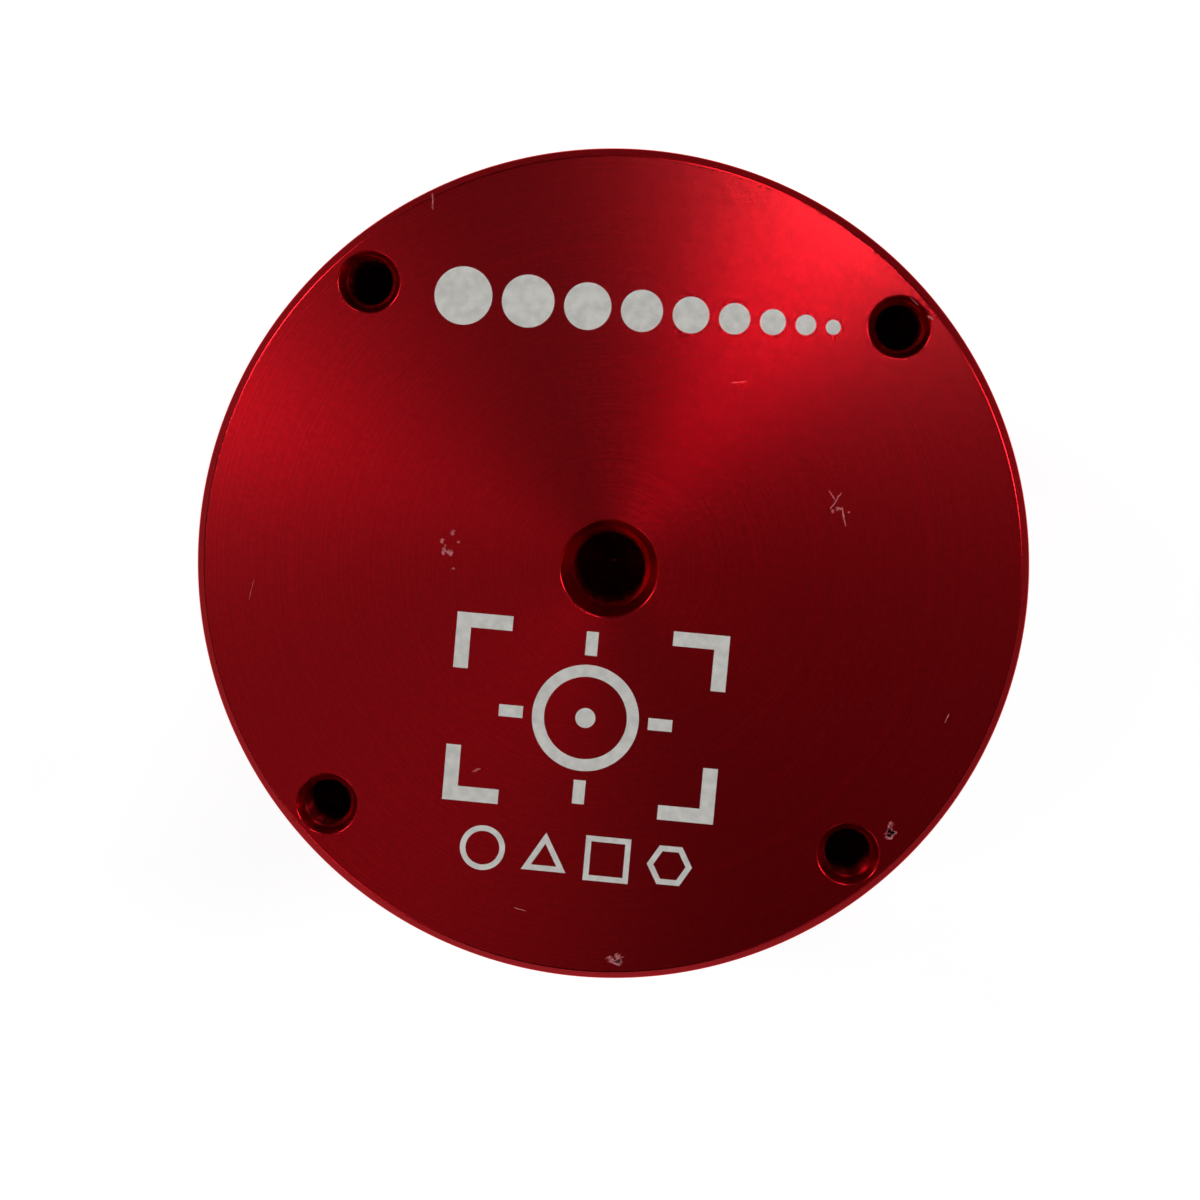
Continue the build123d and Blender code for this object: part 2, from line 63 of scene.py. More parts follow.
# ======================================================================================================
# Sizes, in millimetres: places come from the frame, small features are the real part's
# ======================================================================================================
rear_low, rear_high = box_mm("rear_housing")
front_low = box_mm("front_housing")[0]
nose_low, nose_high = box_mm("nosepiece")
cap_high = box_mm("dust_cap")[1]
usb_low, usb_high = box_mm("usb_shell")
guide_low, guide_high = box_mm("guide_socket_body")
retainer_low, retainer_high = box_mm("window_retainer")
glass_low, glass_high = box_mm("window_glass")

BODY_R = rear_high[0]
REAR_Z = rear_high[2]
SPLIT_Z = rear_low[2]
NECK_Z = front_low[2]
CAVITY_R = 27.5
CEILING_Z = REAR_Z - 3.2                    # underside of the rear plate
REAR_RIM_WIDE, REAR_RIM_DEEP = 0.6, 0.45    # the rear rim's shallow chamfer
RIM_CHAMFER = 0.5                           # the front rim's
SEAM_CHAMFER = 0.3
EDGE_R = 0.18                               # broken edges left by the lathe tool
SOCKET_GAP = 0.2                            # round each socket in its window
SINK_SLOPE = 0.6                            # of the hole mouths, opened by the tap
LIP = 0.08                                  # the flat ring that joins a hole's mouth to its face
DRILL_ANGLE = radians(59)                   # half of a twist drill's point

BOSS_CIRCLE_R = MOUNTS["rear_m4_holes"]["dims"]["pcd_mm"] / 2
BOSS_ANGLES = np.radians([45, 135, 225, 315])
BOSSES_AT = [(BOSS_CIRCLE_R * cos(a), BOSS_CIRCLE_R * sin(a)) for a in BOSS_ANGLES]
# Thread crests at the inner radius, roots at the outer one: M4 x 0.7, and 1/4 inch with 20 turns an inch.
M4 = dict(crest_r=1.65, root_r=2.02, mouth_r=2.3, depth=8.0, pitch=0.7, steps=60)
TRIPOD = dict(crest_r=2.6, root_r=3.2, mouth_r=3.65, depth=8.5, pitch=1.27, steps=96)

PUCK_FRONT_Z = REAR_Z - 27.5                # the body's flat front, round the neck
NECK_R = 24.5
PLATE_FRONT_Z = glass_low[2]
SEAT_Z = glass_high[2] + 0.6                # where the window's gasket sits
PLATE_REAR_Z = PLATE_FRONT_Z + 3.8
APERTURE_R, WINDOW_RECESS_R = 8.0, 11.0
NECK_BORE_R, RELIEF_R = 20.0, 21.3          # behind the lens thread, and its run-out groove
BOSS_R = 4.2                                # round each corner screw, inside both housings
PEDESTAL_R, PEDESTAL_Z = 8.5, SPLIT_Z + 2.5  # carries the tripod thread
HOUSING_SCREW = dict(shank_r=1.25, length=16.0, head_r=2.3, head_t=1.2)
RETAINER_SCREW = dict(shank_r=1.0, length=4.0, head_r=1.8, head_t=0.9)
RETAINER_SCREWS_AT = [(13.5, 0), (0, 13.5), (-13.5, 0), (0, -13.5)]

LENS_PITCH = 0.75
LENS_CREST_R, LENS_ROOT_R = 20.8, 21.2      # female thread in the neck
SPIGOT_CREST_R, SPIGOT_ROOT_R = 20.74, 20.35
FILTER_PITCH = 0.6
FILTER_CREST_R, FILTER_ROOT_R = 13.93, 14.2
BARREL_R, BORE_R = 15.875, 13.4
SPIGOT_BORE_R = 18.6
UNDERCUT_R = 15.3                           # safety groove round the barrel
UNDERCUT_Z = (10.0, 10.6, 13.9, 14.5)       # its two slopes
SHOULDER_R, SHOULDER_Z = 24.0, NECK_Z - 3.5
KNURL_TEETH, KNURL_DEPTH = 90, 0.3
BAFFLE_PITCH, BAFFLE_DEPTH = 0.6, 0.22
CAP_FLUTES = 36
CAP_FLOOR_T, CAP_DIMPLE = 1.5, 0.22         # the cap's end wall, and the gate mark's depth in it
FLUTE_R, FLUTE_OFFSET = 0.9, 0.55           # a grip flute's circle, and its centre outside the cap


# ======================================================================================================
# Meshes
# ======================================================================================================
class Skin:
    """Surfaces gathered in millimetres, then welded into one piece. `finish` is a surface's place in the
    list of materials."""

    def __init__(self):
        self.points, self.faces, self.finishes, self.count = [], [], [], 0

    def add(self, points, faces, finish=0):
        points = np.asarray(points, float).reshape(-1, 3)
        self.points.append(points)
        self.faces += (np.asarray(faces) + self.count).tolist()
        self.finishes += [finish] * len(faces)
        self.count += len(points)

    def piece(self, name, materials, body, slot, replaces=(), sharp=35):
        """Welds shared edges, turns every face outwards and hands the piece to its CAD body."""
        mesh = bpy.data.meshes.new(name)
        mesh.from_pydata(np.concatenate(self.points) * MM, [], self.faces)
        mesh.polygons.foreach_set("material_index", self.finishes)
        made = bmesh.new()
        made.from_mesh(mesh)
        bmesh.ops.remove_doubles(made, verts=made.verts, dist=2e-7)
        bmesh.ops.dissolve_degenerate(made, edges=made.edges, dist=1e-8)
        bmesh.ops.recalc_face_normals(made, faces=made.faces)
        made.to_mesh(mesh)
        made.free()
        mesh.shade_smooth()
        mesh.set_sharp_from_angle(angle=radians(sharp))
        return place(bpy.data.objects.new(name, mesh), materials, body, replaces)


def place(piece, materials, body, replaces=()):
    """Links a finished piece, gives it its materials and lets it ride on its CAD body."""
    bpy.context.scene.collection.objects.link(piece)
    if len(piece.data.materials):               # clearing also resets which face has which material
        piece.data.materials.clear()
    for material in materials:
        piece.data.materials.append(material)
    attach(piece, body)
    if replaces:
        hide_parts(*replaces)
    return piece


def softened(node, width, material, body):
    """A copy of a CAD piece with broken edges: its loose triangles are merged, flat faces are joined,
    and every edge sharper than 30 degrees gets a rounding of the given width in millimetres."""
    mesh = frame["nodes"][node].data.copy()
    made = bmesh.new()
    made.from_mesh(mesh)
    bmesh.ops.remove_doubles(made, verts=made.verts, dist=2e-6)
    bmesh.ops.dissolve_limit(made, angle_limit=radians(1), verts=made.verts, edges=made.edges)
    made.to_mesh(mesh)
    made.free()
    mesh.shade_smooth()
    mesh.set_sharp_from_angle(angle=radians(30))
    piece = bpy.data.objects.new(node + "_finished", mesh)
    bevel = piece.modifiers.new("broken_edges", "BEVEL")
    bevel.width, bevel.segments, bevel.angle_limit = width * MM, 2, radians(30)
    bevel.limit_method, bevel.harden_normals = "ANGLE", True
    return place(piece, [material], body, [node])


def grid(rows, columns, wrap=False):
    """Quads between neighbouring rows and columns of points stored row by row: corner (i, j) has the
    number i * columns + j, and with wrap the last column meets the first."""
    r = np.arange(rows - 1)[:, None] * columns
    c = np.arange(columns if wrap else columns - 1)[None, :]
    d = (c + 1) % columns
    return np.stack([r + c, r + d, r + columns + d, r + columns + c], -1).reshape(-1, 4)


def rounded(*corners, closed=False, steps=4, hold=0.03):
    """Path through (a, b) or (a, b, radius) corners. A corner with a radius becomes an arc tangent to
    both of its sides, with a point `hold` before and after it so that broad faces stay flat."""
    points = np.array([c[:2] for c in corners], float)
    path = []
    for i, corner in enumerate(corners):
        here = points[i]
        if len(corner) < 3 or (not closed and i in (0, len(corners) - 1)):
            path.append(here[None])
            continue
        back, ahead = points[i - 1] - here, points[(i + 1) % len(corners)] - here
        back, ahead = back / np.hypot(*back), ahead / np.hypot(*ahead)
        half = np.arccos(np.clip(back @ ahead, -1, 1)) / 2
        reach = corner[2] / tan(half)
        middle = back + ahead
        centre = here + middle / np.hypot(*middle) * corner[2] / sin(half)
        start, end = here + back * reach - centre, here + ahead * reach - centre
        turn = pi - 2 * half
        t = np.linspace(0, 1, steps + 1)[:, None]
        arc = centre + (np.sin((1 - t) * turn) * start + np.sin(t * turn) * end) / sin(turn)
        path += [here + back * (reach + hold), arc, here + ahead * (reach + hold)]
    return np.concatenate([np.atleast_2d(p) for p in path])


def run(r, z_0, z_1, step):
    """Points straight up or down at one radius, close enough together to carry a thread's form."""
    z = np.linspace(z_0, z_1, int(abs(z_1 - z_0) / step) + 2)
    return [(r, value) for value in z]


def revolved(path, steps, shift=None, closed=True):
    """Surface of revolution: x = r cos a, y = r sin a, with the path's (r, z) along the rows. shift
    is a function of (r, z, a) that gives what is added to the radius, for threads, knurls and flutes."""
    if closed:
        path = np.concatenate([path, path[:1]])
    a = np.linspace(0, 2 * pi, steps, endpoint=False)[None, :]
    r, z = path[:, :1], path[:, 1:]
    radius = r + 0 * a if shift is None else r + shift(r, z, a)
    points = np.stack([radius * np.cos(a), radius * np.sin(a), z + 0 * a], -1)
    return points, grid(len(path), steps, wrap=True)


def filled(*loops):
    """Flat face inside the first loop with the other loops cut out of it."""
    triangles = tessellate_polygon([[Vector(p) for p in loop] for loop in loops])
    return np.concatenate(loops), np.array(triangles)


def polygon(sides, radius, x, y, turn=0.0):
    """Corners of a regular polygon, anticlockwise; many sides make a circle."""
    a = radians(turn) + np.linspace(0, 2 * pi, sides, endpoint=False)
    return np.stack([x + radius * np.cos(a), y + radius * np.sin(a)], -1)


def thread(d, a, pitch):
    """Depth of a V thread from 0 on its crests to 1 in its grooves, at depth d and angle a. The groove
    climbs one pitch per anticlockwise turn, and crests and grooves are cut flat for an eighth of it."""
    turn = np.mod(d / pitch + a / (2 * pi), 1.0)
    return np.clip(1.25 * np.abs(2 * turn - 1) - 0.125, 0, 1)


def tapped_hole(skin, x, y, top, crest_r, root_r, mouth_r, depth, pitch, steps):
    """Blind tapped hole. At depth d its radius is the larger of the worn countersink, mouth - slope * d,
    and the thread, which runs out above the drilled bottom; below `depth` the drill's cone shrinks it to
    nothing. The countersink has the first finish and all below it the second, a darker red that is
    painted shade down the hole. Returns the loop on the face."""
    a = np.linspace(0, 2 * pi, steps, endpoint=False)[None, :]
    rows = int(16 * depth / pitch)
    d = np.linspace(0.04, depth, rows)[:, None]
    fade = np.clip((depth - pitch - d) / (0.7 * pitch), 0, 1)
    cut = crest_r + (root_r - crest_r) * thread(d, a, pitch) * fade
    wall = np.maximum(cut, mouth_r - SINK_SLOPE * d)
    lip = np.array([mouth_r + LIP, mouth_r + LIP / 2, mouth_r + 0.012])[:, None] + 0 * a
    lip_d = np.array([0.0, 0.0, 0.012])[:, None] + 0 * a
    tip = crest_r / tan(DRILL_ANGLE)
    shrink = np.linspace(0, 1, 12)[1:, None]
    radius = np.concatenate([lip, wall, crest_r * (1 - shrink) + 0 * a])
    down = np.concatenate([lip_d, d + 0 * a, depth + tip * shrink + 0 * a])
    points = np.stack([x + radius * np.cos(a), y + radius * np.sin(a), top - down], -1)
    sunk = 3 + int(np.searchsorted(d[:, 0], (mouth_r - crest_r) / SINK_SLOPE))
    skin.add(points[: sunk + 1], grid(sunk + 1, steps, wrap=True))
    # Thread and drilled bottom take the second finish, darker red: painted shade down the hole.
    skin.add(points[sunk:], grid(len(radius) - sunk, steps, wrap=True), finish=1)
    return points[0]


def through_hole(skin, x, y, z_0, z_1, wide_r, hole_r, sink, steps=72):
    """Countersunk hole from the face at z_0 up to the face at z_1: a straight-sided path turned about the
    hole's own axis. Returns its loops on both faces."""
    path = np.array([
        (wide_r + 0.1, 0), (wide_r + 0.02, 0), (wide_r, 0.02), (hole_r, sink), (hole_r, z_1 - z_0 - 0.02),
        (hole_r + 0.02, z_1 - z_0), (hole_r + 0.1, z_1 - z_0)
    ])
    points, faces = revolved(path, steps, closed=False)
    points = points + (x, y, z_0)
    skin.add(points, faces)
    return points[0], points[-1]


def hex_screws(name, node, material, slot, places, seat, shank_r, length, head_r, head_t):
    """Countersunk screws, heads down, seats at height `seat`: each is a turned outside whose flat end is
    pierced by a hexagon recess with a shallow drilled point."""
    skin = Skin()
    outside = np.array([
        (head_r - 0.3, 0), (head_r - 0.1, 0), (head_r - 0.02, 0.03), (head_r, 0.1), (shank_r, head_t),
        (shank_r, length - 0.2), (shank_r - 0.2, length), (0, length)
    ])
    key_r, key_t = head_r * 0.5, head_t * 0.6
    for k, (x, y) in enumerate(places):
        points, faces = revolved(outside, 72, closed=False)
        skin.add(points + (x, y, seat), faces)
        corners = polygon(6, key_r, 0, 0, 17 + 23 * k)
        rows = [(1.05, 0.0), (1.0, 0.05), (1.0, key_t), (0.86, key_t), (0.0, key_t + 0.25)]
        recess = np.stack([np.column_stack([corners * scale, np.full(6, z)]) for scale, z in rows])
        recess = recess + (x, y, seat)
        skin.add(recess, grid(len(rows), 6, wrap=True))
        skin.add(*filled(points[0] + (x, y, seat), recess[0]))
    return skin.piece(name, [material], "camera_body", slot, [node], sharp=30)


# ======================================================================================================
# Materials
# ======================================================================================================
def linear(colour):
    """'#RRGGBB' in sRGB to linear RGBA."""
    s = np.array([int(colour[i : i + 2], 16) for i in (1, 3, 5)]) / 255
    rgb = np.where(s <= 0.04045, s / 12.92, ((s + 0.055) / 1.055) ** 2.4)
    return (*rgb.tolist(), 1.0)


def add(tree, kind, links=None, values=None, **settings):
    """Adds a shader node with its settings, its sockets' values and the links into its sockets."""
    made = tree.nodes.new("ShaderNode" + kind)
    for name, value in settings.items():
        setattr(made, name, value)
    for name, value in (values or {}).items():
        made.inputs[name].default_value = value
    for name, source in (links or {}).items():
        tree.links.new(source, made.inputs[name])
    return made


def new_material(name, **values):
    """Material with one Principled shader, and its tree, shader and Object coordinates."""
    material = bpy.data.materials.new(name)
    material.use_nodes = True
    tree = material.node_tree
    shader = tree.nodes["Principled BSDF"]
    for socket, value in values.items():
        shader.inputs[socket.replace("_", " ")].default_value = value
    place_of = add(tree, "TexCoord").outputs["Object"]
    return material, tree, shader, place_of


def ramp(tree, factor, *stops):
    """Colour ramp from (position, '#RRGGBB') stops."""
    made = add(tree, "ValToRGB", {"Fac": factor})
    elements = made.color_ramp.elements
    while len(elements) < len(stops):
        elements.new(0.5)
    for element, (position, colour) in zip(elements, stops):
        element.position, element.color = position, linear(colour)
    return made.outputs["Color"]


GROOVE_MM = 0.16        # the lathe's feed is nearer 0.08 mm, drawn coarser so that it shows
GROOVE_RELIEF_MM = 0.0008
OXIDE_GRAIN_MM = 0.35   # patches in the dyed oxide are nearer 0.05 mm, drawn coarser so that they show
PASS_MM = 0.9           # bands of slightly uneven gloss where the tool paused
GLOSS_SPREAD = 0.005


def turned_anodised(name, dark, bright, roughness, anisotropy):
    """Anodised aluminium straight off the lathe. Fine grooves run round the optical axis, so highlights
    spread across them into radial wedges; the dyed oxide colours the metal, and its sealed skin, the
    coat, adds a faint white sheen. The tangent is the normal crossed with the groove's direction."""
    material, tree, shader, place_of = new_material(
        name, Metallic=1.0, Roughness=roughness, Anisotropic=anisotropy, Coat_Weight=0.3, Coat_Roughness=0.2
    )
    axis = add(tree, "CombineXYZ", values={2: 1.0}).outputs[0]
    groove = add(tree, "VectorMath", {0: axis, 1: place_of}, operation="CROSS_PRODUCT").outputs[0]
    normal = add(tree, "NewGeometry").outputs["Normal"]
    across = add(tree, "VectorMath", {0: normal, 1: groove}, operation="CROSS_PRODUCT").outputs[0]
    across = add(tree, "VectorMath", {0: across}, operation="NORMALIZE").outputs[0]
    tree.links.new(across, shader.inputs["Tangent"])

    flat = add(tree, "VectorMath", {0: place_of}, {1: (1, 1, 0)}, operation="MULTIPLY").outputs[0]
    radius = add(tree, "VectorMath", {0: flat}, operation="LENGTH").outputs["Value"]
    height = add(tree, "SeparateXYZ", {0: place_of}).outputs["Z"]
    track = add(tree, "Math", {0: radius, 1: height}, operation="ADD").outputs[0]
    rings = add(
        tree, "TexNoise", {"W": track}, {"Scale": 1 / (GROOVE_MM * MM), "Detail": 2.0}, noise_dimensions="1D"
    ).outputs["Fac"]
    grain = add(
        tree, "TexNoise", {"Vector": place_of}, {"Scale": 1 / (OXIDE_GRAIN_MM * MM), "Detail": 2.0}
    ).outputs["Fac"]
    tone = add(tree, "Math", {0: rings, 1: grain}, operation="MULTIPLY").outputs[0]
    tree.links.new(ramp(tree, tone, (0.12, dark), (0.42, bright)), shader.inputs["Base Color"])
    passes = add(
        tree, "TexNoise", {"W": track}, {"Scale": 1 / (PASS_MM * MM), "Detail": 3.0}, noise_dimensions="1D"
    ).outputs["Fac"]
    gloss = add(tree, "MapRange", {"Value": passes}, {
        "From Min": 0.3, "From Max": 0.7,
        "To Min": roughness - GLOSS_SPREAD, "To Max": roughness + GLOSS_SPREAD,
    }).outputs[0]
    tree.links.new(gloss, shader.inputs["Roughness"])
    bump = add(tree, "Bump", {"Height": rings}, {"Strength": 0.5, "Distance": GROOVE_RELIEF_MM * MM})
    tree.links.new(bump.outputs[0], shader.inputs["Normal"])
    return material


def plain_finish(name, light, dark, roughness, grain_mm, relief_mm=0.0, metallic=0.0, strength=0.4, **more):
    """A moulded, cast or plated surface: two close tones in patches six grains wide, gloss that follows
    the patches, and a fine relief one grain wide."""
    material, tree, shader, place_of = new_material(name, Metallic=metallic, **more)
    tone = add(
        tree, "TexNoise", {"Vector": place_of}, {"Scale": 1 / (grain_mm * 6 * MM), "Detail": 4.0}
    ).outputs["Fac"]
    tree.links.new(ramp(tree, tone, (0.35, dark), (0.65, light)), shader.inputs["Base Color"])
    gloss = add(
        tree, "MapRange", {"Value": tone},
        {"To Min": roughness * 0.85, "To Max": min(1.0, roughness * 1.15)},
    ).outputs[0]
    tree.links.new(gloss, shader.inputs["Roughness"])
    if relief_mm:
        fine = add(
            tree, "TexNoise", {"Vector": place_of}, {"Scale": 1 / (grain_mm * MM), "Detail": 2.0}
        ).outputs["Fac"]
        bump = add(tree, "Bump", {"Height": fine}, {"Strength": strength, "Distance": relief_mm * MM})
        tree.links.new(bump.outputs[0], shader.inputs["Normal"])
    return material


# Red dyed oxide on turned aluminium: deep, clear red with two bright wedges of highlight.
RED = turned_anodised("red_anodised_turned_aluminium", "#D00014", "#E4041A", 0.24, 0.5)
# The same turned oxide in tapped threads, its red darkened nearly to black: painted shade down the hole.
RED_PAINTED_HOLE_SHADE = turned_anodised("red_anodised_thread_painted_shade", "#6A0006", "#84000A", 0.3, 0.3)
# Black dyed oxide on turned aluminium: soft satin black that catches light along its edges.
BLACK_ANODISED = turned_anodised("black_anodised_turned_aluminium", "#0B0B0D", "#151518", 0.42, 0.6)
# Oxide bleached by a laser: dull, slightly mottled white, with no sparkle.
LASER_MARK = plain_finish("laser_bleached_oxide", "#F0EEE8", "#DEDCD6", 0.6, 0.12, 0.01, 0.1)
# Oxide rubbed through by knocks: small pale pink nicks.
BARE_SCUFF = plain_finish("rubbed_oxide_scuff", "#E08C90", "#A83C44", 0.6, 0.12, 0.01, 0.2)
# Injection moulded polyethylene: waxy black, a little grainy.
CAP_PLASTIC = plain_finish("moulded_polyethylene", "#151515", "#0D0D0D", 0.5, 0.25, 0.02)
# Glass-filled nylon from a fine mould: black and blue with an even, modest gloss.
SOCKET_PLASTIC = plain_finish("moulded_nylon_black", "#1A1A1C", "#101012", 0.4, 0.2, 0.015)
BLUE_PLASTIC = plain_finish("moulded_nylon_blue", "#1E58B8", "#17479A", 0.38, 0.2, 0.012)
# Machined stainless steel: grey and softly bright.
STEEL = plain_finish("machined_stainless_steel", "#B4B4B0", "#9C9C98", 0.28, 0.15, 0.006, 1.0)
# Nickel plate on rolled sheet: a warmer, smoother grey than the steel.
NICKEL = plain_finish("nickel_plated_sheet", "#C8C8C2", "#B2B2AC", 0.24, 0.2, 0.004, 1.0)
# Thin gold plate on stamped contacts: clean yellow glints.
GOLD = plain_finish("gold_plated_contact", "#E8B858", "#D8A040", 0.22, 0.2, 0.002, 1.0)
# Compression moulded rubber: flat black, almost without gloss.
RUBBER = plain_finish("moulded_rubber", "#161616", "#0E0E0E", 0.7, 0.2, 0.01)
# Open-cell foam, cut from sheet: pitted and light-eating.
FOAM = plain_finish("open_cell_foam", "#1C1C1C", "#0A0A0A", 0.95, 0.3, 0.12, strength=0.9)
# Fired alumina package, brown and chalky.
PACKAGE = plain_finish("fired_ceramic_package", "#3A2E28", "#2C2320", 0.55, 0.1, 0.004)
# Polished silicon under thin films: a dark mirror between green and blue.
SILICON = plain_finish("polished_silicon_die", "#2C463E", "#1C2E36", 0.16, 0.6, metallic=0.9)
# Solder mask over glass laminate: glossy, slightly mottled green.
BOARD = plain_finish("solder_masked_laminate", "#0E5228", "#0B4220", 0.32, 0.6, 0.01)
# Transfer moulded epoxy on chips: matte charcoal with a fine grain.
EPOXY = plain_finish("moulded_epoxy_package", "#1C1C1E", "#131314", 0.55, 0.08, 0.006)
# Filled silicone, calendered: dull grey-blue.
PAD = plain_finish("filled_silicone_pad", "#8E9CB0", "#7C8AA0", 0.8, 0.15, 0.01)
# Fired titanate capacitors: tan and stony.
CERAMIC = plain_finish("fired_capacitor_ceramic", "#A88058", "#8E6A48", 0.5, 0.1, 0.004)
# Deep-drawn nickel silver can: plain bright metal.
CAN = plain_finish("pressed_crystal_can", "#C4C4BE", "#AFAFA9", 0.3, 0.2, 0.004, 1.0)
# Ground and coated glass: clear, with a trace of green.
GLASS = plain_finish(
    "coated_window_glass", "#F4FBFA", "#EAF6F4", 0.02, 2.0, Transmission_Weight=1.0, IOR=1.5
)
# Opal acrylic sheet lit from beneath: an even white with only a faint shadow where something stands.
FLOOR = plain_finish(
    "opal_acrylic_light_table", "#ACACAC", "#A8A8A8", 0.9, 4.0,
    Emission_Color=(1.0, 1.0, 1.0, 1.0), Emission_Strength=0.84
)

# ======================================================================================================
# Rear housing
# ======================================================================================================
WINDOWS = [                                 # each socket's left side, right side and top
    (low[0] - SOCKET_GAP, high[0] + SOCKET_GAP, high[2] + SOCKET_GAP)
    for low, high in ((usb_low, usb_high), (guide_low, guide_high))
]


def housing_columns():
    """Angles of the wall's columns at its outer and inner radius, and each column's lower end. Across
    the sockets the columns stand at even steps in x, angle = asin(x / radius) - 90 degrees, so a
    window's sides are planes; the rest of the wall is divided evenly. A window's edge has two columns
    in one place, one down to the seam and one that stops at the window's top."""
    (usb_0, usb_1, usb_top), (guide_0, guide_1, guide_top) = WINDOWS
    spans = [(usb_0, usb_1, usb_top), (usb_1, guide_0, SPLIT_Z), (guide_0, guide_1, guide_top)]
    across, around = 24, 300                # columns over each span, and over the rest of the wall
    outer, inner, ends = [], [], []
    for x_0, x_1, end in spans:
        x = np.linspace(x_0, x_1, across)
        outer.append(np.arcsin(x / BODY_R) - pi / 2)
        inner.append(np.arcsin(x / CAVITY_R) - pi / 2)
        ends.append(np.full(across, end))
    t = np.linspace(0, 1, around)
    for angles, radius in ((outer, BODY_R), (inner, CAVITY_R)):
        start, stop = asin(guide_1 / radius) - pi / 2, asin(usb_0 / radius) + 1.5 * pi
        angles.append(start + (stop - start) * t)
    ends.append(np.full(around, SPLIT_Z))
    return np.concatenate(outer), np.concatenate(inner), np.concatenate(ends)


def cavity_radius(angle):
    """Inner radius of both housings: the turned wall, drawn in to the far side of a boss's circle
    wherever the ray at this angle meets one, r = d cos f - sqrt(b^2 - d^2 sin^2 f)."""
    f = np.mod(angle, pi / 2) - pi / 4
    side = BOSS_R**2 - (BOSS_CIRCLE_R * np.sin(f)) ** 2
    met = BOSS_CIRCLE_R * np.cos(f) - np.sqrt(np.maximum(side, 0))
    return np.where(side > 0, np.minimum(met, CAVITY_R), CAVITY_R)


def rear_housing():
    """Turned wall with socket windows, bosses and pedestal, and the rear face with its tapped holes."""
    skin = Skin()
    outer, inner, ends = housing_columns()
    outside = rounded(
        (BODY_R - REAR_RIM_WIDE - 0.14, REAR_Z),
        (BODY_R - REAR_RIM_WIDE, REAR_Z, EDGE_R),
        (BODY_R, REAR_Z - REAR_RIM_DEEP, EDGE_R),
        (BODY_R, WINDOWS[0][2]),
        (BODY_R, WINDOWS[1][2]),
        (BODY_R, SPLIT_Z + SEAM_CHAMFER, 0.05),
        (BODY_R - SEAM_CHAMFER, SPLIT_Z, 0.05),
        (BODY_R - 1.0, SPLIT_Z),
    )
    inside = np.array([
        (CAVITY_R, SPLIT_Z), (CAVITY_R, CEILING_Z), (PEDESTAL_R, CEILING_Z), (PEDESTAL_R, PEDESTAL_Z),
        (0.0, PEDESTAL_Z)
    ])
    path = np.concatenate([outside, inside])
    row = np.arange(len(path))[:, None]
    angle = np.where(row < len(outside), outer, inner)
    walls = (row == len(outside)) | (row == len(outside) + 1)
    r = np.where(walls, cavity_radius(inner), path[:, :1])
    z = np.where(row <= len(outside), np.maximum(path[:, 1:], ends), path[:, 1:])
    points = np.stack([r * np.cos(angle), r * np.sin(angle), z], -1)
    skin.add(points, grid(len(path), len(outer), wrap=True))
    gaps = np.hypot(*(points[0] - np.roll(points[0], 1, axis=0))[:, :2].T)
    rim = points[0][gaps > 1e-6]            # without the double columns at the windows' sides
    holes = [tapped_hole(skin, x, y, REAR_Z, **M4) for x, y in BOSSES_AT]
    holes.append(tapped_hole(skin, 0, 0, REAR_Z, **TRIPOD))
    skin.add(*filled(rim, *holes))
    return skin.piece(
        "rear_housing_turned", [RED, RED_PAINTED_HOLE_SHADE], "camera_body", "red_anodised_body", ["rear_housing"]
    )


